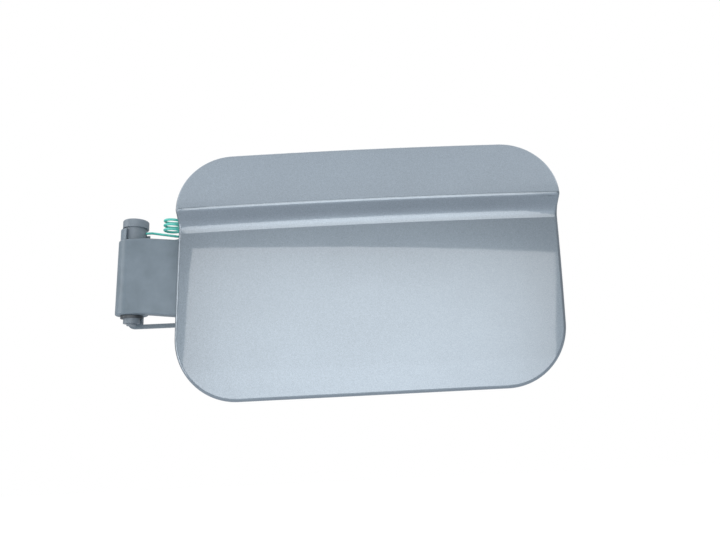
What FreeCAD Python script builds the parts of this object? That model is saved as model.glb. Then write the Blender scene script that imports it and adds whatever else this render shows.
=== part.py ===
import FreeCAD, Part
import math
import os
import Sketcher

# Car fuel filler flap with its hinge arm, pin, return spring, latch tongue and buffers.
# Frame: origin on the hinge axis in the pin's head, +Z up along the axis,
# +X toward the free end, outer face toward -Y. All sizes in mm.

doc = FreeCAD.newDocument("fuel_flap")
sheet = doc.addObject("Spreadsheet::Sheet", "sizes")

SIZES = [
    # outer panel
    ("panel_width", 189.2),
    ("panel_height", 121.8),
    ("panel_rise", 27.4),
    ("hinge_offset", 28.2),
    ("axis_depth", 20.0),
    ("side_lean", 1.55),
    ("foot_lean", 0.3),
    ("top_corner", 27.0),
    ("bottom_corner", 30.5),
    ("plan_crown", 1700.0),
    ("ridge_drop", 29.0),
    ("ridge_rise", 7.5),
    ("step_run", 6.3),
    ("valley_rise", 1.0),
    ("upper_fall", 4.0),
    ("lower_fall", 6.4),
    ("upper_crown", 330.0),
    ("lower_crown", 800.0),
    ("ridge_radius", 2.6),
    ("valley_radius", 9.0),
    ("edge_radius", 1.8),
    ("panel_wall", 2.4),
    ("rim_depth", 7.0),
    ("stiffener_wall", 1.5),
    ("stiffener_height", 3.0),
    # hinge arm
    ("barrel_radius", 8.0),
    ("arm_drop", 9.45),
    ("arm_height", 39.25),
    ("arm_top_fall", 2.3),
    ("arm_foot_fall", 2.6),
    ("arm_wall", 2.6),
    ("arm_edge", 0.8),
    ("flare_radius", 7.0),
    ("base_start", 30.5),
    ("base_length", 88.0),
    ("base_top_rise", 14.0),
    ("base_bottom_drop", 16.0),
    ("base_corner", 10.0),
    ("rear_wall", 2.4),
    ("rear_wall_reach", 40.0),
    ("rear_wall_drop", 5.9),
    ("rear_wall_back", 4.0),
    ("window_start", 3.0),
    ("window_width", 22.6),
    ("window_sill", 2.1),
    ("window_height", 24.0),
    ("rib_wall", 2.0),
    ("rib_height", 4.0),
    ("gusset_reach", 84.0),
    ("saddle_radius", 7.3),
    ("saddle_height", 3.7),
    ("horn_height", 6.1),
    ("horn_start", 2.0),
    ("foot_web_depth", 6.0),
    # hinge pin
    ("head_radius", 6.5),
    ("head_height", 4.4),
    ("pin_radius", 5.55),
    ("foot_radius", 4.0),
    ("foot_length", 4.0),
    ("tip_radius", 2.3),
    ("tip_length", 1.1),
    ("shoulder", 4.1),
    ("pin_clearance", 0.05),
    ("axial_play", 0.15),
    ("clip_radius", 5.4),
    ("clip_thickness", 1.3),
    # return spring
    ("wire_radius", 0.65),
    ("coil_radius", 4.9),
    ("coil_turns", 3.0),
    ("coil_pitch", 2.5),
    ("coil_reach", 23.3),
    ("coil_depth", 7.5),
    ("leg_drop", 4.7),
    ("spring_hole_clearance", 0.1),
    # fasteners, latch and buffers
    ("screw_inset", 11.0),
    ("screw_radius", 1.9),
    ("screw_length", 9.0),
    ("screw_head_radius", 3.9),
    ("screw_head_height", 2.4),
    ("screw_clearance", 0.05),
    ("hole_clearance", 0.35),
    ("boss_radius", 4.6),
    ("latch_inset", 24.0),
    ("latch_base_width", 22.0),
    ("latch_base_height", 36.0),
    ("latch_tongue_width", 18.0),
    ("latch_tongue_reach", 22.0),
    ("latch_tongue_wall", 3.4),
    ("latch_eye_radius", 3.6),
    ("latch_screw_gap", 13.0),
    ("buffer_inset", 20.0),
    ("buffer_upper_drop", 24.0),
    ("buffer_lower_rise", 26.0),
    ("buffer_seat", 6.5),
    ("buffer_radius", 6.2),
    ("buffer_tip_radius", 4.2),
    ("buffer_height", 7.5),
    ("buffer_stem_radius", 2.4),
    ("buffer_stem_length", 4.0),
]

VALUES = {}
for row, (alias, number) in enumerate(SIZES, start=1):
    sheet.set("A%d" % row, alias)
    sheet.set("B%d" % row, str(number))
    sheet.setAlias("B%d" % row, alias)
    VALUES[alias] = float(number)
doc.recompute()


class Size:
    """A formula over the sheet's cells, kept as its text and as its present value."""

    def __init__(self, text, value):
        self.text = text
        self.value = value

    def join(self, sign, other):
        other = as_size(other)
        text = "(%s %s %s)" % (self.text, sign, other.text)
        if sign == "+":
            return Size(text, self.value + other.value)
        if sign == "-":
            return Size(text, self.value - other.value)
        if sign == "*":
            return Size(text, self.value * other.value)
        return Size(text, self.value / other.value)

    def __add__(self, other):
        return self.join("+", other)

    def __sub__(self, other):
        return self.join("-", other)

    def __mul__(self, other):
        return self.join("*", other)

    def __truediv__(self, other):
        return self.join("/", other)

    def __neg__(self):
        return Size("(0 - %s)" % self.text, -self.value)


def as_size(number):
    if isinstance(number, Size):
        return number
    return Size(repr(float(number)), float(number))


def size(alias):
    return Size("sizes.%s" % alias, VALUES[alias])


def tangent(angle):
    return Size("tan(%s * 1 deg)" % angle.text, math.tan(math.radians(angle.value)))


ZERO = as_size(0)


def body(name):
    return doc.addObject("PartDesign::Body", name)


def sketch(owner, name, role, offset=ZERO):
    """A sketch on one of the body's own origin planes, moved along the plane's normal."""
    plane = [f for f in owner.Origin.OriginFeatures if f.Role == role][0]
    made = owner.newObject("Sketcher::SketchObject", name)
    made.AttachmentSupport = (plane, [""])
    made.MapMode = "FlatFace"
    made.setExpression("AttachmentOffset.Base.z", offset.text)
    return made


def bind(target, kind, parts, formula):
    """One driving constraint of a sketch, tied to a formula over the sheet."""
    index = target.addConstraint(Sketcher.Constraint(kind, *parts, formula.value))
    target.setExpression("Constraints[%d]" % index, formula.text)


def place_point(target, geometry, end, x, y):
    for kind, axis, formula in (("DistanceX", -2, x), ("DistanceY", -1, y)):
        if formula is ZERO:
            target.addConstraint(Sketcher.Constraint("PointOnObject", geometry, end, axis))
        else:
            bind(target, kind, (geometry, end), formula)


def loop(target, corners, arcs={}):
    """A closed outline through the corners; arcs gives a radius and a side to single segments."""
    points = [FreeCAD.Vector(x.value, y.value, 0) for x, y in corners]
    ends = []
    for i, start in enumerate(points):
        stop = points[(i + 1) % len(points)]
        if i in arcs:
            radius, side = arcs[i]
            chord = stop - start
            inset = math.sqrt(radius.value ** 2 - (chord.Length / 2) ** 2)
            normal = FreeCAD.Vector(-chord.y, chord.x, 0).normalize()
            centre = (start + stop) * 0.5 - normal * (side * inset)
            first, last = (stop, start) if side > 0 else (start, stop)
            span = [math.atan2(p.y - centre.y, p.x - centre.x) for p in (first, last)]
            circle = Part.Circle(centre, FreeCAD.Vector(0, 0, 1), radius.value)
            geometry = target.addGeometry(Part.ArcOfCircle(circle, *span))
            bind(target, "Radius", (geometry,), radius)
            ends.append((geometry, 2, 1) if side > 0 else (geometry, 1, 2))
        else:
            ends.append((target.addGeometry(Part.LineSegment(start, stop)), 1, 2))
    for i, (geometry, first, last) in enumerate(ends):
        other, begin, _ = ends[(i + 1) % len(ends)]
        target.addConstraint(Sketcher.Constraint("Coincident", geometry, last, other, begin))
        place_point(target, geometry, first, *corners[i])


def box_loop(target, left, right, low, high):
    loop(target, [(left, low), (right, low), (right, high), (left, high)])


def ring(target, x, y, radius):
    centre = FreeCAD.Vector(x.value, y.value, 0)
    geometry = target.addGeometry(Part.Circle(centre, FreeCAD.Vector(0, 0, 1), radius.value))
    place_point(target, geometry, 3, x, y)
    bind(target, "Radius", (geometry,), radius)


def solid(owner, kind, name, profile, length, back=False, both=False):
    """A Pad or a Pocket of the profile; back turns it round, both makes it symmetric."""
    made = owner.newObject("PartDesign::" + kind, name)
    made.Profile = profile
    made.setExpression("Length", length.text)
    made.Reversed = back
    if both:
        made.SideType = "Symmetric"
    doc.recompute()
    return made


def turned(owner, kind, name, profile, axis, angle=360.0, both=False):
    made = owner.newObject("PartDesign::" + kind, name)
    made.Profile = profile
    made.ReferenceAxis = (profile, [axis])
    made.Angle = angle
    if both:
        made.Midplane = True
    doc.recompute()
    return made


def rounded(owner, name, pick, radius):
    """A fillet on the edges of the body's last feature that pick accepts."""
    base = owner.Tip
    names = ["Edge%d" % n for n, edge in enumerate(base.Shape.Edges, start=1) if pick(edge)]
    made = owner.newObject("PartDesign::Fillet", name)
    made.Base = (base, names)
    made.setExpression("Radius", radius.text)
    doc.recompute()
    return made


def along_y(x, z):
    """Accepts the straight edges along Y that stand at x, z."""
    def pick(edge):
        first, last = edge.Vertexes[0].Point, edge.Vertexes[-1].Point
        straight = abs(first.x - last.x) < 1e-4 and abs(first.z - last.z) < 1e-4
        return straight and abs(first.x - x.value) < 1e-3 and abs(first.z - z.value) < 1e-3
    return pick


def combined(kind, name, base, tool):
    made = doc.addObject("Part::" + kind, name)
    made.Base = base
    made.Tool = tool
    doc.recompute()
    return made


def merged(kind, name, shapes):
    made = doc.addObject("Part::" + kind, name)
    if kind == "Compound":
        made.Links = shapes
    else:
        made.Shapes = shapes
    doc.recompute()
    return made


def rod(name, x, y, z, radius, length):
    """A cylinder along +Y from x, y, z."""
    made = doc.addObject("Part::Cylinder", name)
    made.Placement.Rotation = FreeCAD.Rotation(FreeCAD.Vector(1, 0, 0), -90)
    for prop, formula in (("Radius", radius), ("Height", length)):
        made.setExpression(prop, formula.text)
    for axis, formula in (("x", x), ("y", y), ("z", z)):
        made.setExpression("Placement.Base." + axis, formula.text)
    return made


def block(name, x, y, z, long, deep, high):
    made = doc.addObject("Part::Box", name)
    for prop, formula in (("Length", long), ("Width", deep), ("Height", high)):
        made.setExpression(prop, formula.text)
    for axis, formula in (("x", x), ("y", y), ("z", z)):
        made.setExpression("Placement.Base." + axis, formula.text)
    return made


# Outer panel: the section with its crease is turned about a far upright axis, which gives
# the skin its second curvature, and is trimmed by the leaning outline with rounded corners.
PANEL_MIDDLE_X = size("hinge_offset") + size("panel_width") / 2
PANEL_MIDDLE_Z = size("panel_rise") - size("panel_height") / 2
PANEL_FOOT = size("panel_rise") - size("panel_height")
FACE_Y = -size("axis_depth")
RIDGE_Z = size("panel_rise") - size("ridge_drop")
VALLEY_Z = RIDGE_Z - size("step_run")
SECTION_SPARE = 6.0
BLANK_DEPTH = as_size(90.0)
SWEEP_ANGLE = 14.0


def outline(name, inset):
    """The panel's leaning outline as a deep block, drawn in by inset on all sides."""
    owner = body(name)
    profile = sketch(owner, name + "_outline", "XZ_Plane", size("axis_depth"))
    high = size("panel_rise") - inset
    low = PANEL_FOOT + inset
    lean = tangent(size("side_lean"))
    left = size("hinge_offset") + inset
    right = size("hinge_offset") + size("panel_width") - inset
    shift_high = (high - PANEL_MIDDLE_Z) * lean
    shift_low = (low - PANEL_MIDDLE_Z) * lean
    tilt = size("panel_width") / 2 * tangent(size("foot_lean"))
    corners = [
        (left + shift_low, low),
        (right + shift_low, low + tilt * 2),
        (right + shift_high, high),
        (left + shift_high, high),
    ]
    loop(profile, corners)
    solid(owner, "Pad", name + "_block", profile, BLANK_DEPTH, both=True)
    for label, chosen, radius in (
        ("_low", corners[:2], size("bottom_corner") - inset),
        ("_high", corners[2:], size("top_corner") - inset),
    ):
        picks = [along_y(x, z) for x, z in chosen]
        rounded(owner, name + label, lambda e: any(p(e) for p in picks), radius)
    return owner


def relief(name, setback, depth):
    """The crowned skin section: from setback behind the outer face to depth further back."""
    owner = body(name)
    profile = sketch(owner, name + "_section", "YZ_Plane", PANEL_MIDDLE_X)
    centre = FACE_Y + size("plan_crown")
    axis = target_line(profile, centre)
    upper_share = (size("ridge_drop") + SECTION_SPARE) / size("ridge_drop")
    lower_span = size("panel_height") - size("ridge_drop") - size("step_run")
    lower_share = (lower_span + SECTION_SPARE) / lower_span
    heights = [
        (size("ridge_rise") - size("upper_fall") * upper_share, size("panel_rise") + SECTION_SPARE),
        (size("ridge_rise"), RIDGE_Z),
        (size("valley_rise"), VALLEY_Z),
        (size("valley_rise") - size("lower_fall") * lower_share, PANEL_FOOT - SECTION_SPARE),
    ]
    front = [(FACE_Y + setback - rise, z) for rise, z in heights]
    back = [(y + depth, z) for y, z in reversed(front)]
    arcs = {
        0: (size("upper_crown"), -1),
        2: (size("lower_crown"), -1),
        4: (size("lower_crown"), 1),
        6: (size("upper_crown"), 1),
    }
    loop(profile, front + back, arcs)
    turned(owner, "Revolution", name + "_sweep", profile, axis, SWEEP_ANGLE, both=True)

    def level(z):
        return lambda e: all(abs(v.Z - z.value) < 1e-3 for v in e.Vertexes) and curved(e)

    rounded(owner, name + "_ridge", level(RIDGE_Z), size("ridge_radius"))
    rounded(owner, name + "_valley", level(VALLEY_Z), size("valley_radius"))
    return owner


def target_line(profile, x):
    """An upright construction line at x, the axis the section is turned about."""
    start = FreeCAD.Vector(x.value, 0, 0)
    stop = FreeCAD.Vector(x.value, 10, 0)
    geometry = profile.addGeometry(Part.LineSegment(start, stop), True)
    place_point(profile, geometry, 1, x, ZERO)
    place_point(profile, geometry, 2, x, as_size(10))
    return "Axis0"


def curved(edge):
    return edge.Curve.TypeId == "Part::GeomCircle" and edge.Curve.Radius > 500


skin = combined("Common", "skin_form", outline("skin_outline", ZERO),
                relief("skin_relief", ZERO, size("rim_depth")))


def outer_edge(edge):
    """Accepts the edges where the outer face meets the panel's sides."""
    middle = edge.valueAt((edge.FirstParameter + edge.LastParameter) / 2)
    away = FreeCAD.Vector(middle.x - PANEL_MIDDLE_X.value, 0, middle.z - PANEL_MIDDLE_Z.value)
    away.normalize()
    behind = middle + FreeCAD.Vector(0, 1, 0)
    inward = skin.Shape.isInside(behind - away, 1e-4, False)
    outward = skin.Shape.isInside(behind + away, 1e-4, False)
    first, last = edge.Vertexes[0].Point, edge.Vertexes[-1].Point
    straight_back = abs(first.x - last.x) < 1e-4 and abs(first.z - last.z) < 1e-4
    return inward and not outward and not straight_back


skin_body = body("skin_body")
skin_body.BaseFeature = skin
doc.recompute()
rounded(skin_body, "skin_edge", outer_edge, size("edge_radius"))

WALL = size("panel_wall")
cavity = combined("Common", "cavity", outline("cavity_outline", WALL),
                  relief("cavity_relief", WALL, size("rim_depth")))
shell = combined("Cut", "shell", skin_body, cavity)

# Screw bosses, buffer posts and stiffeners on the inside, trimmed to grow out of the skin.
SEAT_Y = -size("barrel_radius")
ARM_TOP = -size("arm_drop")
ARM_FOOT = ARM_TOP - size("arm_height")
BASE_END = size("base_start") + size("base_length")
BASE_TOP = ARM_TOP + size("base_top_rise")
BASE_FOOT = ARM_FOOT - size("base_bottom_drop")
LATCH_X = size("hinge_offset") + size("panel_width") - size("latch_inset")
BUFFER_X = size("hinge_offset") + size("panel_width") - size("buffer_inset")
BUFFER_Y = -size("buffer_seat")
BUFFER_UPPER_Z = size("panel_rise") - size("buffer_upper_drop")
BUFFER_LOWER_Z = PANEL_FOOT + size("buffer_lower_rise")
ROOT_Y = FACE_Y - 20

arm_screw_spots = [
    (size("base_start") + size("screw_inset"), BASE_TOP - size("screw_inset")),
    (BASE_END - size("screw_inset"), BASE_TOP - size("screw_inset")),
    (size("base_start") + size("screw_inset"), BASE_FOOT + size("screw_inset")),
    (BASE_END - size("screw_inset"), BASE_FOOT + size("screw_inset")),
]
latch_screw_spots = [
    (LATCH_X, PANEL_MIDDLE_Z + size("latch_screw_gap")),
    (LATCH_X, PANEL_MIDDLE_Z - size("latch_screw_gap")),
]
buffer_spots = [(BUFFER_X, BUFFER_UPPER_Z), (BUFFER_X, BUFFER_LOWER_Z)]

posts = []
pilots = []
SCREW_BITE = size("screw_length") - size("arm_wall")
for number, (x, z) in enumerate(arm_screw_spots + latch_screw_spots, start=1):
    reach = SEAT_Y - ROOT_Y
    posts.append(rod("boss_%d" % number, x, ROOT_Y, z, size("boss_radius"), reach))
    bite = SCREW_BITE + size("axial_play")
    grip = size("screw_radius") + size("screw_clearance")
    pilots.append(rod("pilot_%d" % number, x, SEAT_Y - bite, z, grip, bite + 1))
for number, (x, z) in enumerate(buffer_spots, start=1):
    reach = BUFFER_Y - ROOT_Y
    posts.append(rod("post_%d" % number, x, ROOT_Y, z, size("buffer_radius"), reach))
    bite = size("buffer_stem_length") + size("axial_play")
    pilots.append(rod("socket_%d" % number, x, BUFFER_Y - bite, z, size("buffer_stem_radius"), bite + 1))

bars = []
RIB = size("stiffener_wall")
for share in (0.16, 0.33, 0.5, 0.67, 0.84):
    x = size("hinge_offset") + size("panel_width") * share - RIB / 2
    bars.append(block("upright_%d" % (share * 100), x, ROOT_Y, PANEL_FOOT, RIB, as_size(60), size("panel_height")))
for share in (0.2, 0.45):
    z = PANEL_FOOT + size("panel_height") * share - RIB / 2
    bars.append(block("level_%d" % (share * 100), size("hinge_offset"), ROOT_Y, z,
                      size("panel_width"), as_size(60), RIB))

grid_zone = combined("Common", "grid_zone", outline("grid_outline", WALL / 2),
                     relief("grid_relief", WALL / 2, WALL / 2 + size("stiffener_height")))
grid = combined("Common", "grid", merged("MultiFuse", "bars", bars), grid_zone)
growth = relief("post_relief", WALL / 2, as_size(45))
studs = combined("Common", "studs", merged("MultiFuse", "posts", posts), growth)
full_panel = merged("MultiFuse", "full_panel", [shell, grid, studs])
outer_panel = combined("Cut", "outer_panel", full_panel, merged("MultiFuse", "pilots", pilots))


# Hinge arm: front wall tangent to the barrel, windowed rear wall, base plate behind the panel.
arm = body("hinge_arm")
front = sketch(arm, "arm_front", "XZ_Plane", size("barrel_radius"))
START = size("base_start")
arm_corners = [
    (ZERO, ARM_FOOT),
    (size("barrel_radius"), ARM_FOOT),
    (START, ARM_FOOT - size("arm_foot_fall")),
    (START, BASE_FOOT),
    (BASE_END, BASE_FOOT),
    (BASE_END, BASE_TOP),
    (START, BASE_TOP),
    (START, ARM_TOP - size("arm_top_fall")),
    (size("barrel_radius"), ARM_TOP),
    (ZERO, ARM_TOP),
]
loop(front, arm_corners)
solid(arm, "Pad", "arm_plate", front, size("arm_wall"), back=True)
for name, chosen, radius in (
    ("arm_break", (arm_corners[1], arm_corners[8]), size("flare_radius") * 3),
    ("arm_flare", (arm_corners[2], arm_corners[7]), size("flare_radius")),
    ("arm_root", (arm_corners[3], arm_corners[6]), size("base_corner") / 2),
    ("arm_end", (arm_corners[4], arm_corners[5]), size("base_corner")),
):
    picks = [along_y(x, z) for x, z in chosen]
    rounded(arm, name, lambda e: any(p(e) for p in picks), radius)


def front_outline(edge):
    """Accepts the edges round the arm's front face, save the one that runs into the barrel."""
    ends = [edge.valueAt(t) for t in (edge.FirstParameter, edge.LastParameter)]
    flat = all(abs(p.y - SEAT_Y.value) < 1e-4 for p in ends)
    into_barrel = all(abs(p.x) < 1e-4 for p in ends)
    return flat and not into_barrel


ARM_EDGE = size("arm_edge")
rounded(arm, "arm_front_edges", front_outline, ARM_EDGE)

PLATE_BACK = SEAT_Y + size("arm_wall")
barrel = sketch(arm, "barrel_half", "XZ_Plane")
BARREL = size("barrel_radius")
loop(barrel, [
    (ZERO, ARM_TOP),
    (BARREL - ARM_EDGE, ARM_TOP),
    (BARREL, ARM_TOP - ARM_EDGE),
    (BARREL, ARM_FOOT + ARM_EDGE),
    (BARREL - ARM_EDGE, ARM_FOOT),
    (ZERO, ARM_FOOT),
], {1: (ARM_EDGE, 1), 3: (ARM_EDGE, 1)})
turned(arm, "Revolution", "barrel", barrel, "V_Axis")

WALL_FOOT = ARM_FOOT - size("rear_wall_drop")
SILL = WALL_FOOT + size("window_sill")
rear = sketch(arm, "arm_rear", "XZ_Plane", -size("barrel_radius"))
box_loop(rear, -size("rear_wall_back"), size("rear_wall_reach"), WALL_FOOT, ARM_TOP)
box_loop(rear, size("window_start"), size("window_start") + size("window_width"),
         SILL, SILL + size("window_height"))
solid(arm, "Pad", "rear_wall_plate", rear, size("rear_wall"))
rounded(arm, "rear_wall_corner", along_y(-size("rear_wall_back"), WALL_FOOT), size("rear_wall_back") * 0.7)

REAR_FACE = size("barrel_radius") - size("rear_wall")
gusset_levels = [
    ARM_TOP - size("arm_top_fall") - size("rib_wall"),
    ARM_TOP - size("arm_height") * 0.42,
    ARM_FOOT + size("arm_height") * 0.2,
]
for number, z in enumerate(gusset_levels, start=1):
    side = sketch(arm, "gusset_%d" % number, "XY_Plane", z)
    loop(side, [
        (ZERO, SEAT_Y + size("arm_wall") / 2),
        (size("gusset_reach"), SEAT_Y + size("arm_wall") / 2),
        (size("gusset_reach"), PLATE_BACK + 1),
        (size("rear_wall_reach"), size("barrel_radius")),
        (ZERO, size("barrel_radius")),
    ])
    solid(arm, "Pad", "gusset_web_%d" % number, side, size("rib_wall"))

# Web along the sloping lower edge of the front wall.
foot_web = sketch(arm, "foot_web", "XZ_Plane", -PLATE_BACK + 0.5)
loop(foot_web, [
    (size("barrel_radius"), ARM_FOOT),
    (START, ARM_FOOT - size("arm_foot_fall")),
    (START, ARM_FOOT - size("arm_foot_fall") + size("rib_wall")),
    (size("barrel_radius"), ARM_FOOT + size("rib_wall")),
])
solid(arm, "Pad", "foot_web_plate", foot_web, size("foot_web_depth"), back=True)

# Ribs on the back of the base plate.
back_ribs = sketch(arm, "base_ribs", "XZ_Plane", -PLATE_BACK)
INSET = size("base_corner") * 0.3
box_loop(back_ribs, START + INSET, BASE_END - INSET, BASE_FOOT + INSET, BASE_TOP - INSET)
box_loop(back_ribs, START + INSET + size("rib_wall"), BASE_END - INSET - size("rib_wall"),
         BASE_FOOT + INSET + size("rib_wall"), BASE_TOP - INSET - size("rib_wall"))
solid(arm, "Pad", "base_rim", back_ribs, size("rib_height"), back=True)
for number, share in enumerate((0.4, 0.7), start=1):
    cross = sketch(arm, "cross_%d" % number, "XZ_Plane", -PLATE_BACK)
    x = START + size("base_length") * share
    box_loop(cross, x, x + size("rib_wall"), BASE_FOOT + INSET, BASE_TOP - INSET)
    solid(arm, "Pad", "cross_rib_%d" % number, cross, size("rib_height"), back=True)

# Saddle round the back of the pin with a taller horn on its far side, then the stepped bore.
# The saddle stays low where the spring's leg sweeps over it.
SADDLE_TOP = ARM_TOP + size("horn_height")
saddle = sketch(arm, "saddle_ring", "XY_Plane", ARM_TOP - 1)
ring(saddle, ZERO, ZERO, size("saddle_radius"))
solid(arm, "Pad", "saddle", saddle, size("horn_height") + 1)
SPAN = size("saddle_radius") + 1
step = sketch(arm, "saddle_step", "XY_Plane", SADDLE_TOP + 1)
box_loop(step, -size("horn_start"), SPAN, -SPAN, SPAN)
solid(arm, "Pocket", "saddle_low", step, size("horn_height") - size("saddle_height") + 1)
cutaway = sketch(arm, "saddle_cutaway", "XY_Plane", SADDLE_TOP + 1)
box_loop(cutaway, -size("horn_start"), SPAN, -SPAN, size("saddle_radius") * 0.15)
solid(arm, "Pocket", "saddle_front", cutaway, size("horn_height") + 1)
bore = sketch(arm, "pin_bore", "XY_Plane", SADDLE_TOP + 1)
ring(bore, ZERO, ZERO, size("pin_radius") + size("pin_clearance"))
BORE_DEPTH = size("horn_height") + size("arm_height") - size("shoulder") + 1
solid(arm, "Pocket", "pin_bore_cut", bore, BORE_DEPTH)
foot_bore = sketch(arm, "foot_bore", "XY_Plane", SADDLE_TOP + 1)
ring(foot_bore, ZERO, ZERO, size("foot_radius") + size("pin_clearance"))
solid(arm, "Pocket", "foot_bore_cut", foot_bore, size("horn_height") + size("arm_height") + 2)

# Lug for the spring's fixed leg, and the screw holes.
COIL_Y = -size("coil_depth")
COIL_FOOT = -size("leg_drop") - size("wire_radius") * 5
COIL_TOP = COIL_FOOT + size("coil_turns") * size("coil_pitch")
LEG_Y = COIL_Y + size("coil_radius")
LUG = size("wire_radius") * 3
LUG_X = START + size("base_corner") / 2
lug = sketch(arm, "spring_lug", "XZ_Plane", -PLATE_BACK + 0.5)
box_loop(lug, LUG_X, LUG_X + LUG * 2, COIL_TOP - LUG, COIL_TOP + LUG)
solid(arm, "Pad", "spring_lug_block", lug, LEG_Y + LUG - PLATE_BACK + 0.5, back=True)
eyelet = sketch(arm, "spring_eyelet", "YZ_Plane", START)
ring(eyelet, LEG_Y, COIL_TOP, size("wire_radius") + size("spring_hole_clearance"))
solid(arm, "Pocket", "spring_eyelet_hole", eyelet, LUG_X - START + LUG * 2 + 1, back=True)
holes = sketch(arm, "arm_holes", "XZ_Plane", size("barrel_radius") + 1)
for x, z in arm_screw_spots:
    ring(holes, x, z, size("screw_radius") + size("hole_clearance"))
solid(arm, "Pocket", "arm_hole_cut", holes, size("arm_wall") + 2)


# Hinge pin: head, shaft, stepped foot; and the push-on clip under the barrel.
pin = body("hinge_pin")
half = sketch(pin, "pin_half", "XZ_Plane")
HEAD_TOP = size("head_height") / 2
SHOULDER_Z = ARM_FOOT + size("shoulder") + size("axial_play")
FOOT_Z = ARM_FOOT - size("foot_length")
loop(half, [
    (ZERO, HEAD_TOP),
    (size("head_radius"), HEAD_TOP),
    (size("head_radius"), -HEAD_TOP),
    (size("pin_radius"), -HEAD_TOP),
    (size("pin_radius"), SHOULDER_Z),
    (size("foot_radius"), SHOULDER_Z),
    (size("foot_radius"), FOOT_Z),
    (size("tip_radius"), FOOT_Z),
    (size("tip_radius"), FOOT_Z - size("tip_length")),
    (ZERO, FOOT_Z - size("tip_length")),
])
turned(pin, "Revolution", "pin_turned", half, "V_Axis")


def head_rim(edge):
    return all(abs(v.Z - HEAD_TOP.value) < 1e-4 for v in edge.Vertexes) and edge.Length > 1


rounded(pin, "pin_head_edge", head_rim, size("arm_edge"))
cross_hole = sketch(pin, "pin_cross_hole", "YZ_Plane")
ring(cross_hole, ZERO, -size("leg_drop"), size("wire_radius") + size("spring_hole_clearance"))
solid(pin, "Pocket", "pin_cross_cut", cross_hole, size("pin_radius") + 1, back=True)

clip = body("pin_clip")
washer = sketch(clip, "clip_ring", "XY_Plane", ARM_FOOT - size("axial_play"))
ring(washer, ZERO, ZERO, size("clip_radius"))
ring(washer, ZERO, ZERO, size("foot_radius"))
solid(clip, "Pad", "clip_washer", washer, size("clip_thickness"), back=True)


# Return spring: one wire from the arm's lug, down through the coil, to the pin's cross hole.
# The wire is swept along straight runs with mitred joints.
RUNS_PER_TURN = 16


def spring_shape():
    turns = VALUES["coil_turns"]
    steps = int(turns * RUNS_PER_TURN)
    path = [FreeCAD.Vector(LUG_X.value + LUG.value * 1.6, LEG_Y.value, COIL_TOP.value)]
    for step in range(steps + 1):
        angle = math.pi / 2 + 2 * math.pi * turns * step / steps
        drop = (COIL_TOP.value - COIL_FOOT.value) * step / steps
        path.append(FreeCAD.Vector(
            VALUES["coil_reach"] + VALUES["coil_radius"] * math.cos(angle),
            COIL_Y.value + VALUES["coil_radius"] * math.sin(angle),
            COIL_TOP.value - drop))
    hook = VALUES["pin_radius"]
    path.append(FreeCAD.Vector(hook * 1.6, 0, -VALUES["leg_drop"]))
    path.append(FreeCAD.Vector(hook * 0.5, 0, -VALUES["leg_drop"]))
    spine = Part.makePolygon(path)
    ring_edge = Part.makeCircle(VALUES["wire_radius"], path[0], path[1] - path[0])
    mitred = 1
    return spine.makePipeShell([Part.Wire([ring_edge])], True, True, mitred)


spring = doc.addObject("Part::Feature", "return_spring")
spring.Shape = spring_shape()


# Screws: pan head and shank, through the plate into the boss.
def screws(name, spots):
    made = []
    for number, (x, z) in enumerate(spots, start=1):
        tag = "%s_%d" % (name, number)
        head = rod(tag + "_head", x, PLATE_BACK, z, size("screw_head_radius"), size("screw_head_height"))
        shank = rod(tag + "_shank", x, PLATE_BACK - size("screw_length"), z,
                    size("screw_radius"), size("screw_length") + 0.5)
        made.append(merged("MultiFuse", tag, [head, shank]))
    return merged("Compound", name, made)


arm_screws = screws("arm_screws", arm_screw_spots)
latch_screws = screws("latch_screws", latch_screw_spots)

# Latch tongue: base plate on two bosses and an upright tongue with the eye.
latch = body("latch_tongue")
plate = sketch(latch, "latch_plate", "XZ_Plane", -SEAT_Y)
WIDE = size("latch_base_width") / 2
TALL = size("latch_base_height") / 2
plate_corners = [
    (LATCH_X - WIDE, PANEL_MIDDLE_Z - TALL),
    (LATCH_X + WIDE, PANEL_MIDDLE_Z - TALL),
    (LATCH_X + WIDE, PANEL_MIDDLE_Z + TALL),
    (LATCH_X - WIDE, PANEL_MIDDLE_Z + TALL),
]
loop(plate, plate_corners)
solid(latch, "Pad", "latch_base", plate, size("arm_wall"), back=True)
picks = [along_y(x, z) for x, z in plate_corners]
rounded(latch, "latch_base_corners", lambda e: any(p(e) for p in picks), size("base_corner") / 2)
WIDTH = size("latch_tongue_width") / 2
EYE_Y = PLATE_BACK + size("latch_tongue_reach") - WIDTH
tongue = sketch(latch, "latch_upright", "YZ_Plane", LATCH_X)
loop(tongue, [
    (SEAT_Y + size("arm_wall") / 2, PANEL_MIDDLE_Z - WIDTH),
    (EYE_Y, PANEL_MIDDLE_Z - WIDTH),
    (EYE_Y, PANEL_MIDDLE_Z + WIDTH),
    (SEAT_Y + size("arm_wall") / 2, PANEL_MIDDLE_Z + WIDTH),
], {1: (WIDTH * 1.0001, -1)})
solid(latch, "Pad", "latch_blade", tongue, size("latch_tongue_wall"), both=True)
eye = sketch(latch, "latch_eye", "YZ_Plane", LATCH_X + WIDE)
ring(eye, EYE_Y, PANEL_MIDDLE_Z, size("latch_eye_radius"))
solid(latch, "Pocket", "latch_eye_hole", eye, WIDE * 2)
latch_holes = sketch(latch, "latch_holes", "XZ_Plane", -SEAT_Y + 1)
for x, z in latch_screw_spots:
    ring(latch_holes, x, z, size("screw_radius") + size("hole_clearance"))
solid(latch, "Pocket", "latch_hole_cut", latch_holes, size("arm_wall") + 2)


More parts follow.
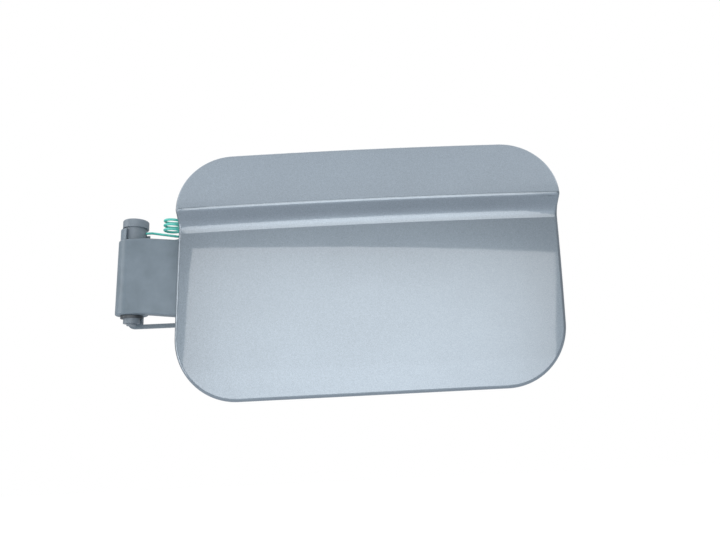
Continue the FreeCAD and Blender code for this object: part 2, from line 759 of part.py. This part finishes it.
# Rubber buffers, turned about Y and pressed into the posts by their stems.
def buffer(name, x, z):
    owner = body(name)
    profile = sketch(owner, name + "_half", "XY_Plane", z)
    start = FreeCAD.Vector(x.value, 0, 0)
    stop = FreeCAD.Vector(x.value, 10, 0)
    axis = profile.addGeometry(Part.LineSegment(start, stop), True)
    place_point(profile, axis, 1, x, ZERO)
    place_point(profile, axis, 2, x, as_size(10))
    loop(profile, [
        (x, BUFFER_Y - size("buffer_stem_length")),
        (x + size("buffer_stem_radius"), BUFFER_Y - size("buffer_stem_length")),
        (x + size("buffer_stem_radius"), BUFFER_Y),
        (x + size("buffer_radius"), BUFFER_Y),
        (x + size("buffer_radius"), BUFFER_Y + size("buffer_height") * 0.3),
        (x + size("buffer_tip_radius"), BUFFER_Y + size("buffer_height")),
        (x, BUFFER_Y + size("buffer_height")),
    ])
    turned(owner, "Revolution", name + "_turned", profile, "Axis0")
    return owner


buffers = [buffer("buffer_upper", *buffer_spots[0]), buffer("buffer_lower", *buffer_spots[1])]

nodes = [outer_panel, arm, pin, clip, spring, arm_screws, latch, latch_screws] + buffers
doc.recompute()
for item in doc.Objects:
    if "Invalid" in item.State or "Error" in item.State:
        raise RuntimeError("not built: " + item.Name)
os.makedirs("parts", exist_ok=True)
for node in nodes:
    if node.Shape.isNull() or not node.Shape.isValid():
        raise RuntimeError("bad shape: " + node.Label)
    node.Shape.exportStep("parts/%s.step" % node.Label)
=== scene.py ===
import bpy
import math
from mathutils import Matrix, Quaternion, Vector


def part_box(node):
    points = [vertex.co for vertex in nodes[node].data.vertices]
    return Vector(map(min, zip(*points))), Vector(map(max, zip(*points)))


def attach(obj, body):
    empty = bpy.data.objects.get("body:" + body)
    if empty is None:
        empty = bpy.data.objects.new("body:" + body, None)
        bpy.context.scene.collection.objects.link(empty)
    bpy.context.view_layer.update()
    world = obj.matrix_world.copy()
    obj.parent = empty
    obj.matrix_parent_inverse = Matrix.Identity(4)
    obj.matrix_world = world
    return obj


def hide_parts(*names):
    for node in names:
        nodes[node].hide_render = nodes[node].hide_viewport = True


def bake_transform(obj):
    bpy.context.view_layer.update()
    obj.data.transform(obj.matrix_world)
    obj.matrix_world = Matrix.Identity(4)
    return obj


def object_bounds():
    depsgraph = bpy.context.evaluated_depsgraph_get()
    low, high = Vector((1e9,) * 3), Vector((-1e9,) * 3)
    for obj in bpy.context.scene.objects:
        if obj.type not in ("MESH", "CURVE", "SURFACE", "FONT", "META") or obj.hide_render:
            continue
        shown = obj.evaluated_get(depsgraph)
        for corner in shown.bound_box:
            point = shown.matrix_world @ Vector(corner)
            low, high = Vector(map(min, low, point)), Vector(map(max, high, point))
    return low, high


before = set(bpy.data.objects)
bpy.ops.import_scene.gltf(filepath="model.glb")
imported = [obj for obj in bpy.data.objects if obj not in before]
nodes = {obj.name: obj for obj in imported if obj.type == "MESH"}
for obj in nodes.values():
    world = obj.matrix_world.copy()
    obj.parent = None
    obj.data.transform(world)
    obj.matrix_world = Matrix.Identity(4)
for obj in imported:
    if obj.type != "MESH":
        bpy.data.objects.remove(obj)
cad_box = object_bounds()
scene = bpy.context.scene

# One millimetre in the scene's metres.
MM = 0.001
WHITE = (1.0, 1.0, 1.0, 1.0)


def linear(hex_colour):
    """An sRGB hex colour as linear RGBA."""
    parts = [int(hex_colour[i:i + 2], 16) / 255 for i in (1, 3, 5)]
    return tuple(c / 12.92 if c <= 0.04045 else ((c + 0.055) / 1.055) ** 2.4 for c in parts) + (1.0,)


def add(tree, kind, inputs=None, **settings):
    """A node with its settings; inputs maps a socket to a value or to another node's output."""
    made = tree.nodes.new(kind)
    for key, value in settings.items():
        setattr(made, key, value)
    for socket, value in (inputs or {}).items():
        if isinstance(value, bpy.types.NodeSocket):
            tree.links.new(value, made.inputs[socket])
        else:
            made.inputs[socket].default_value = value
    return made


def per_size(millimetres):
    """Texture scale that makes one feature of a pattern about this long."""
    return 1.0 / (millimetres * MM)


# Most values of a noise pattern lie between these two.
NOISE_LOW = 0.3
NOISE_HIGH = 0.7
PATCH_DETAIL = 6.0
PATCH_ROUGHNESS = 0.6
GRAIN_DETAIL = 3.0


def surface(name, dark, light, patch_mm, grain_mm, grain_depth_mm, rough, rough_swing, **shader_values):
    """A procedural material: two tones in soft patches, a fine grain bump and uneven roughness."""
    made = bpy.data.materials.new(name)
    made.use_nodes = True
    tree = made.node_tree
    shader = tree.nodes["Principled BSDF"]
    place = add(tree, "ShaderNodeTexCoord").outputs["Object"]
    patches = add(tree, "ShaderNodeTexNoise", {
        "Vector": place, "Scale": per_size(patch_mm),
        "Detail": PATCH_DETAIL, "Roughness": PATCH_ROUGHNESS})
    tone = add(tree, "ShaderNodeValToRGB", {"Fac": patches.outputs["Fac"]})
    low, high = tone.color_ramp.elements
    low.position = NOISE_LOW
    low.color = linear(dark)
    high.position = NOISE_HIGH
    high.color = linear(light)
    tree.links.new(tone.outputs["Color"], shader.inputs["Base Color"])
    grain = add(tree, "ShaderNodeTexNoise", {
        "Vector": place, "Scale": per_size(grain_mm), "Detail": GRAIN_DETAIL})
    bump = add(tree, "ShaderNodeBump", {
        "Height": grain.outputs["Fac"], "Strength": 1.0, "Distance": grain_depth_mm * MM})
    tree.links.new(bump.outputs["Normal"], shader.inputs["Normal"])
    dull = add(tree, "ShaderNodeMapRange", {
        "Value": patches.outputs["Fac"], "From Min": NOISE_LOW, "From Max": NOISE_HIGH,
        "To Min": rough - rough_swing, "To Max": rough + rough_swing})
    tree.links.new(dull.outputs["Result"], shader.inputs["Roughness"])
    for socket, value in shader_values.items():
        shader.inputs[socket.replace("_", " ")].default_value = value
    return made


# Sprayed metallic paint: grey flakes that glitter a little under a hard, mirror-like clear coat.
PAINT_DARK = "#76818a"
PAINT_LIGHT = "#88939c"
# Real flakes are a tenth of this size. They are drawn this coarse so that they show.
FLAKE_MM = 0.22
FLAKE_LEAN = 0.03
# Faint clouds of tone and of haze, as a spray gun leaves them.
CLOUD_MM = 38.0
CLOUD_DETAIL = 5.0
CLOUD_ROUGHNESS = 0.55
CLOUD_DIMMEST = 0.96
CLOUD_BRIGHTEST = 1.03
HAZE_FROM = (0.35, 0.75)
HAZE_TO = (0.02, 0.06)
# Orange peel: the coat's slight waves.
PEEL_MM = 2.6
PEEL_DEPTH_MM = 0.0022
# The coat's IOR is above the 1.5 of a lacquer, matched to the strong gloss that the part shows.
PAINT_VALUES = {"Metallic": 0.8, "Roughness": 0.3, "Coat Weight": 1.0, "Coat IOR": 1.75}


def metallic_paint():
    """The flap's paint: tipped flakes of two tones, and a clear coat with its own waves."""
    made = bpy.data.materials.new("metallic_body_paint")
    made.use_nodes = True
    tree = made.node_tree
    shader = tree.nodes["Principled BSDF"]
    place = add(tree, "ShaderNodeTexCoord").outputs["Object"]
    flakes = add(tree, "ShaderNodeTexVoronoi", {"Vector": place, "Scale": per_size(FLAKE_MM)})
    clouds = add(tree, "ShaderNodeTexNoise", {
        "Vector": place, "Scale": per_size(CLOUD_MM),
        "Detail": CLOUD_DETAIL, "Roughness": CLOUD_ROUGHNESS})
    sparkle = add(tree, "ShaderNodeSeparateColor", {"Color": flakes.outputs["Color"]})
    tone = add(tree, "ShaderNodeValToRGB", {"Fac": sparkle.outputs["Red"]})
    low, high = tone.color_ramp.elements
    low.color = linear(PAINT_DARK)
    high.color = linear(PAINT_LIGHT)
    cloudy = add(tree, "ShaderNodeMapRange", {
        "Value": clouds.outputs["Fac"], "From Min": NOISE_LOW, "From Max": NOISE_HIGH,
        "To Min": CLOUD_DIMMEST, "To Max": CLOUD_BRIGHTEST})
    shade = add(tree, "ShaderNodeVectorMath", {
        0: tone.outputs["Color"], 1: cloudy.outputs["Result"]}, operation="MULTIPLY")
    tree.links.new(shade.outputs["Vector"], shader.inputs["Base Color"])
    facing = add(tree, "ShaderNodeNewGeometry").outputs["Normal"]
    lean = add(tree, "ShaderNodeVectorMath", {
        0: flakes.outputs["Color"], 1: (0.5, 0.5, 0.5)}, operation="SUBTRACT")
    tipped = add(tree, "ShaderNodeVectorMath", {
        0: lean.outputs["Vector"], "Scale": FLAKE_LEAN}, operation="SCALE")
    mixed = add(tree, "ShaderNodeVectorMath", {
        0: facing, 1: tipped.outputs["Vector"]}, operation="ADD")
    unit = add(tree, "ShaderNodeVectorMath", {0: mixed.outputs["Vector"]}, operation="NORMALIZE")
    tree.links.new(unit.outputs["Vector"], shader.inputs["Normal"])
    peel = add(tree, "ShaderNodeTexNoise", {
        "Vector": place, "Scale": per_size(PEEL_MM), "Detail": 1.0})
    wave = add(tree, "ShaderNodeBump", {
        "Height": peel.outputs["Fac"], "Strength": 1.0, "Distance": PEEL_DEPTH_MM * MM})
    tree.links.new(wave.outputs["Normal"], shader.inputs["Coat Normal"])
    haze = add(tree, "ShaderNodeMapRange", {
        "Value": clouds.outputs["Fac"], "From Min": HAZE_FROM[0], "From Max": HAZE_FROM[1],
        "To Min": HAZE_TO[0], "To Max": HAZE_TO[1]})
    tree.links.new(haze.outputs["Result"], shader.inputs["Coat Roughness"])
    for socket, value in PAINT_VALUES.items():
        shader.inputs[socket].default_value = value
    return made


paint = metallic_paint()
# The grains below are drawn some times coarser than the real ones, so that they show.
# Polyamide moulded in a spark-eroded tool: an even satin grey with a fine grain.
arm_plastic = surface(
    "moulded_polyamide", "#66727a", "#77838c", patch_mm=14.0,
    grain_mm=0.5, grain_depth_mm=0.006, rough=0.36, rough_swing=0.06)
# Moulded acetal: much like the arm, with a broader grain.
pin_plastic = surface(
    "acetal_pin", "#6e777e", "#7f8890", patch_mm=9.0,
    grain_mm=0.7, grain_depth_mm=0.006, rough=0.38, rough_swing=0.06)
# Spring wire dipped in a green coating: a soft gloss over a slightly uneven film.
wire_coat = surface(
    "green_coated_wire", "#41b0a2", "#5fcdbd", patch_mm=4.0,
    grain_mm=0.35, grain_depth_mm=0.008, rough=0.36, rough_swing=0.06, Coat_Weight=0.4)
# Zinc plated steel: bright, with faint cloudy patches.
zinc = surface(
    "zinc_plated_steel", "#b4b6b8", "#d2d4d5", patch_mm=2.5,
    grain_mm=0.2, grain_depth_mm=0.004, rough=0.34, rough_swing=0.08, Metallic=1.0)
# Phosphated spring steel: dull and dark.
phosphate = surface(
    "phosphated_steel", "#4c4f52", "#66696c", patch_mm=2.0,
    grain_mm=0.25, grain_depth_mm=0.006, rough=0.5, rough_swing=0.08, Metallic=0.7)
# Moulded rubber: near black and matt.
rubber = surface(
    "buffer_rubber", "#1c1d1e", "#2a2b2c", patch_mm=5.0,
    grain_mm=0.4, grain_depth_mm=0.02, rough=0.75, rough_swing=0.08)

LOOKS = {
    "outer_panel": paint,
    "hinge_arm": arm_plastic,
    "hinge_pin": pin_plastic,
    "pin_clip": phosphate,
    "return_spring": wire_coat,
    "arm_screws": zinc,
    "latch_tongue": pin_plastic,
    "latch_screws": zinc,
    "buffer_upper": rubber,
    "buffer_lower": rubber,
}
for name, look in LOOKS.items():
    slots = nodes[name].material_slots
    if not slots:
        nodes[name].data.materials.append(look)
    for held in slots:
        held.material = look


def new_tree(name, sizes):
    """An empty Geometry Nodes tree that takes geometry and the named inputs, and gives geometry."""
    tree = bpy.data.node_groups.new(name, "GeometryNodeTree")
    tree.interface.new_socket("Geometry", in_out="INPUT", socket_type="NodeSocketGeometry")
    for label, kind in sizes.items():
        tree.interface.new_socket(label, in_out="INPUT", socket_type=kind)
    tree.interface.new_socket("Geometry", in_out="OUTPUT", socket_type="NodeSocketGeometry")
    return tree


def grown(name, points, edges, tree, values):
    """A plain mesh object that a Geometry Nodes tree makes from points and edges."""
    seed = bpy.data.meshes.new(name + "_seed")
    seed.from_pydata(points, edges, [])
    maker = bpy.data.objects.new(name + "_seed", seed)
    scene.collection.objects.link(maker)
    rule = maker.modifiers.new(name, "NODES")
    rule.node_group = tree
    for socket in tree.interface.items_tree:
        if socket.in_out == "INPUT" and socket.name in values:
            rule[socket.identifier] = values[socket.name]
    bpy.context.view_layer.update()
    ready = maker.evaluated_get(bpy.context.evaluated_depsgraph_get())
    made = bpy.data.objects.new(name, bpy.data.meshes.new_from_object(ready))
    scene.collection.objects.link(made)
    bpy.data.objects.remove(maker)
    return made


# Spring: a smooth coated wire along the solid spring's line, with a bent leg running between pin and
# flap.
# Sizes are in mm: the coil hangs beside the barrel, one leg runs to the arm's lug at its top
# and the other to the pin's cross hole.
WIRE_RADIUS = 0.65
COIL_RADIUS = 4.9
COIL_TURNS = 3
COIL_CENTRE = (23.3, -7.5)
COIL_TOP = -0.45
COIL_FOOT = -7.95
ANCHOR_X = 38.6
LEG_LEVEL = -4.7
LEG_TURN = 8.9
LEG_END = 2.8
POINTS_PER_TURN = 40
ANCHOR_STEPS = 9
LEG_STEPS = 12
END_STEPS = 5
WIRE_SIDES = 12


def spring_line():
    """Points of the wire's centre line in mm, from the arm's lug to the pin's cross hole."""
    points = []
    for step in range(ANCHOR_STEPS):
        x = ANCHOR_X + (COIL_CENTRE[0] - ANCHOR_X) * step / ANCHOR_STEPS
        points.append(Vector((x, COIL_CENTRE[1] + COIL_RADIUS, COIL_TOP)))
    steps = COIL_TURNS * POINTS_PER_TURN
    for step in range(steps + 1):
        turn = math.pi / 2 + 2 * math.pi * COIL_TURNS * step / steps
        points.append(Vector((
            COIL_CENTRE[0] + COIL_RADIUS * math.cos(turn),
            COIL_CENTRE[1] + COIL_RADIUS * math.sin(turn),
            COIL_TOP + (COIL_FOOT - COIL_TOP) * step / steps)))
    start = points[-1]
    bend = Vector((LEG_TURN, 0.0, LEG_LEVEL))
    for step in range(1, LEG_STEPS + 1):
        points.append(start.lerp(bend, step / LEG_STEPS))
    end = Vector((LEG_END, 0.0, LEG_LEVEL))
    for step in range(1, END_STEPS + 1):
        points.append(bend.lerp(end, step / END_STEPS))
    return points


def wire_tree():
    """Geometry Nodes: a round wire along a line of points, closed at both ends."""
    tree = new_tree("wire_along_line", {
        "Wire Radius": "NodeSocketFloat", "Sides": "NodeSocketInt", "Finish": "NodeSocketMaterial"})
    given = add(tree, "NodeGroupInput").outputs
    path = add(tree, "GeometryNodeMeshToCurve", {"Mesh": given["Geometry"]})
    ring = add(tree, "GeometryNodeCurvePrimitiveCircle", {
        "Resolution": given["Sides"], "Radius": given["Wire Radius"]}, mode="RADIUS")
    swept = add(tree, "GeometryNodeCurveToMesh", {
        "Curve": path.outputs["Curve"], "Profile Curve": ring.outputs["Curve"], "Fill Caps": True})
    soft = add(tree, "GeometryNodeSetShadeSmooth", {"Geometry": swept.outputs["Mesh"]})
    plain = add(tree, "GeometryNodeRealizeInstances", {"Geometry": soft.outputs["Geometry"]})
    dressed = add(tree, "GeometryNodeSetMaterial", {
        "Geometry": plain.outputs["Geometry"], "Material": given["Finish"]})
    add(tree, "NodeGroupOutput", {0: dressed.outputs["Geometry"]})
    return tree


wire_line = [point * MM for point in spring_line()]
wire_steps = [(i, i + 1) for i in range(len(wire_line) - 1)]
spring = grown("spring_wire_tube", wire_line, wire_steps, wire_tree(), {
    "Wire Radius": WIRE_RADIUS * MM, "Sides": WIRE_SIDES, "Finish": wire_coat})
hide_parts("return_spring")
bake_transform(spring)

# Screws: one pan-head screw with a six-lobe drive, set at each hole by Geometry Nodes.
HEAD_RADIUS = 3.9
HEAD_HEIGHT = 2.4
LOBES = 6
AROUND = 48
TURN_SEED = 7
SHARP_ANGLE = math.radians(35)
# Radius, height above the plate and depth of the lobes in mm, from the drive's floor to the shank's tip.
SCREW_RINGS = [
    (1.45, 1.0, 0.28),
    (1.55, 2.2, 0.3),
    (1.8, 2.36, 0.2),
    (2.6, HEAD_HEIGHT, 0.0),
    (3.3, 2.1, 0.0),
    (3.75, 1.5, 0.0),
    (HEAD_RADIUS, 0.7, 0.0),
    (HEAD_RADIUS, 0.0, 0.0),
    (1.9, 0.0, 0.0),
    (1.9, -7.9, 0.0),
    (1.3, -8.5, 0.0),
]


def turned_screw():
    """The screw's object, its axis along Y and the underside of its head at the origin."""
    spots = []
    for radius, height, lobe in SCREW_RINGS:
        for k in range(AROUND):
            angle = 2 * math.pi * k / AROUND
            r = radius + lobe * math.cos(LOBES * angle)
            spots.append((r * math.cos(angle) * MM, height * MM, r * math.sin(angle) * MM))
    faces = []
    last = (len(SCREW_RINGS) - 1) * AROUND
    for ring in range(0, last, AROUND):
        for k in range(AROUND):
            after = (k + 1) % AROUND
            faces.append((ring + k, ring + after, ring + AROUND + after, ring + AROUND + k))
    faces.append(tuple(range(AROUND - 1, -1, -1)))
    faces.append(tuple(last + k for k in range(AROUND)))
    mesh = bpy.data.meshes.new("screw")
    mesh.from_pydata(spots, [], faces)
    mesh.update()
    return bpy.data.objects.new("screw", mesh)


def screw_tree():
    """Geometry Nodes: an instance on every point, each turned by chance from a fixed seed."""
    tree = new_tree("screws_on_points", {
        "Screw": "NodeSocketObject", "Finish": "NodeSocketMaterial", "Most Turn": "NodeSocketFloat"})
    given = add(tree, "NodeGroupInput").outputs
    shape = add(tree, "GeometryNodeObjectInfo", {"Object": given["Screw"]})
    # Socket 3 and output 1 are the largest value and the result for plain numbers.
    chance = add(tree, "FunctionNodeRandomValue", {
        3: given["Most Turn"], "Seed": TURN_SEED}, data_type="FLOAT")
    turn = add(tree, "ShaderNodeCombineXYZ", {"Y": chance.outputs[1]})
    placed = add(tree, "GeometryNodeInstanceOnPoints", {
        "Points": given["Geometry"], "Instance": shape.outputs["Geometry"],
        "Rotation": turn.outputs["Vector"]})
    plain = add(tree, "GeometryNodeRealizeInstances", {"Geometry": placed.outputs["Instances"]})
    dressed = add(tree, "GeometryNodeSetMaterial", {
        "Geometry": plain.outputs["Geometry"], "Material": given["Finish"]})
    add(tree, "NodeGroupOutput", {0: dressed.outputs["Geometry"]})
    return tree


def screw_points(node):
    """Screw places read off the CAD node: the corners of its box, a head's radius inside."""
    low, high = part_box(node)
    inset = HEAD_RADIUS * MM
    y = high[1] - HEAD_HEIGHT * MM
    # Both ends round to one place where a single column of screws is as wide as a head.
    xs = sorted({round(low[0] + inset, 5), round(high[0] - inset, 5)})
    return [(x, y, z) for x in xs for z in (low[2] + inset, high[2] - inset)]


def set_screws(name, node, screw, tree):
    """A plain mesh of screws that stands for a CAD node of screws."""
    made = grown(name, screw_points(node), [], tree, {
        "Screw": screw, "Finish": zinc, "Most Turn": 2 * math.pi})
    made.data.shade_smooth()
    made.data.set_sharp_from_angle(angle=SHARP_ANGLE)
    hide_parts(node)
    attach(made, "flap")


screw = turned_screw()
scene.collection.objects.link(screw)
on_points = screw_tree()
set_screws("arm_screw_set", "arm_screws", screw, on_points)
set_screws("latch_screw_set", "latch_screws", screw, on_points)
bpy.data.objects.remove(screw)

# Camera: a phone's main lens, below the flap's middle, looking up and turned a little.
LENS_MM = 27.05
SENSOR_MM = 36.0
CLIP_START = 10 * MM
CAMERA_DISTANCE = 262 * MM
CAMERA_PITCH = math.radians(13.0)
CAMERA_ROLL = math.radians(2.6)
TARGET = Vector((118.4, -20.0, -35.0)) * MM


def place_camera():
    """The scene's camera, looking at the target along the pitch and rolled about its own axis."""
    toward = Vector((0, math.cos(CAMERA_PITCH), math.sin(CAMERA_PITCH)))
    level_right = Vector((1, 0, 0))
    level_up = level_right.cross(toward)
    right = level_right * math.cos(CAMERA_ROLL) - level_up * math.sin(CAMERA_ROLL)
    up = level_right * math.sin(CAMERA_ROLL) + level_up * math.cos(CAMERA_ROLL)
    data = bpy.data.cameras.new("camera")
    data.lens = LENS_MM
    data.sensor_width = SENSOR_MM
    data.clip_start = CLIP_START
    camera = bpy.data.objects.new("camera", data)
    scene.collection.objects.link(camera)
    place = Matrix((right, up, -toward)).transposed().to_4x4()
    place.translation = TARGET - toward * CAMERA_DISTANCE
    camera.matrix_world = place
    scene.camera = camera


def softbox(name, centre_mm, width_mm, height_mm, watts, facing, lean=0.0):
    """A rectangular soft light facing the given direction, leaning about it by some degrees."""
    data = bpy.data.lights.new(name, "AREA")
    data.shape = "RECTANGLE"
    data.size = width_mm * MM
    data.size_y = height_mm * MM
    data.energy = watts
    lamp = bpy.data.objects.new(name, data)
    scene.collection.objects.link(lamp)
    lamp.location = Vector(centre_mm) * MM
    upright = Vector(facing).to_track_quat("-Z", "Y")
    lamp.rotation_euler = (upright @ Quaternion((0, 0, 1), math.radians(lean))).to_euler()


place_camera()
scene.view_settings.view_transform = "Standard"

# World: white to the camera; to everything else a soft sky, dimmer near the horizon, which the
# paint mirrors as its darker band. Each band: sine of the height above the horizon, share of
# the full strength.
SKY_BANDS = [(0.0, 0.29), (0.34, 0.29), (0.52, 1.0), (0.72, 0.84), (0.98, 0.74)]
SKY_STRENGTH = 1.55
SKY_TINT = "#f4f8fd"
world = bpy.data.worlds.new("studio")
scene.world = world
world.use_nodes = True
tree = world.node_tree
rays = add(tree, "ShaderNodeLightPath")
upward = add(tree, "ShaderNodeTexCoord").outputs["Generated"]
height = add(tree, "ShaderNodeSeparateXYZ", {0: upward})
bands = add(tree, "ShaderNodeValToRGB", {"Fac": height.outputs["Z"]})
stops = bands.color_ramp.elements
for place, (up, share) in enumerate(SKY_BANDS):
    band = stops[place] if place < 2 else stops.new(up)
    band.position = up
    band.color = (share, share, share, 1.0)
sky = add(tree, "ShaderNodeMath", {0: bands.outputs["Color"], 1: SKY_STRENGTH}, operation="MULTIPLY")
seen = add(tree, "ShaderNodeMix", {
    "Factor": rays.outputs["Is Camera Ray"], "A": sky.outputs["Value"], "B": 1.0}, data_type="FLOAT")
# Sockets 0, 6 and 7 are the factor and the two colours, output 2 the mixed colour.
tint = add(tree, "ShaderNodeMix", {
    0: rays.outputs["Is Camera Ray"], 6: linear(SKY_TINT), 7: WHITE}, data_type="RGBA")
backdrop = tree.nodes["Background"]
tree.links.new(seen.outputs["Result"], backdrop.inputs["Strength"])
tree.links.new(tint.outputs[2], backdrop.inputs["Color"])

# Soft studio light: a wide box in front, whose mirror image in the paint ends at the dark band
# under the crease, and a tall strip at the hinge end for the barrel and the rolled edge.
softbox("front_box", centre_mm=(132, -1150, -222), width_mm=1225, height_mm=855, watts=6.1,
        facing=(0, 1, 0), lean=-4.0)
softbox("side_strip", centre_mm=(-880, -380, -40), width_mm=460, height_mm=900, watts=2.6,
        facing=(1, 0.35, 0))

# Pale floor well below the hanging flap, lifted to white for the camera but for the flap's shadow.
FLOOR_DROP = 620 * MM
FLOOR_REACH = 4.0
FLOOR_COLOUR = "#c8cbcf"
FLOOR_LIFT = 0.6
floor_mesh = bpy.data.meshes.new("floor")
floor_mesh.from_pydata([
    (-FLOOR_REACH, -FLOOR_REACH, 0), (FLOOR_REACH, -FLOOR_REACH, 0),
    (FLOOR_REACH, FLOOR_REACH, 0), (-FLOOR_REACH, FLOOR_REACH, 0)], [], [(0, 1, 2, 3)])
floor = bpy.data.objects.new("floor", floor_mesh)
scene.collection.objects.link(floor)
floor.location.z = cad_box[0][2] - FLOOR_DROP
pale = bpy.data.materials.new("pale_floor")
pale.use_nodes = True
tree = pale.node_tree
matt = add(tree, "ShaderNodeBsdfDiffuse", {"Color": linear(FLOOR_COLOUR)})
rays = add(tree, "ShaderNodeLightPath")
lift = add(tree, "ShaderNodeMath", {
    0: rays.outputs["Is Camera Ray"], 1: FLOOR_LIFT}, operation="MULTIPLY")
glow = add(tree, "ShaderNodeEmission", {"Strength": lift.outputs["Value"]})
both = add(tree, "ShaderNodeAddShader", {0: matt.outputs[0], 1: glow.outputs[0]})
tree.links.new(both.outputs[0], tree.nodes["Material Output"].inputs["Surface"])
floor_mesh.materials.append(pale)
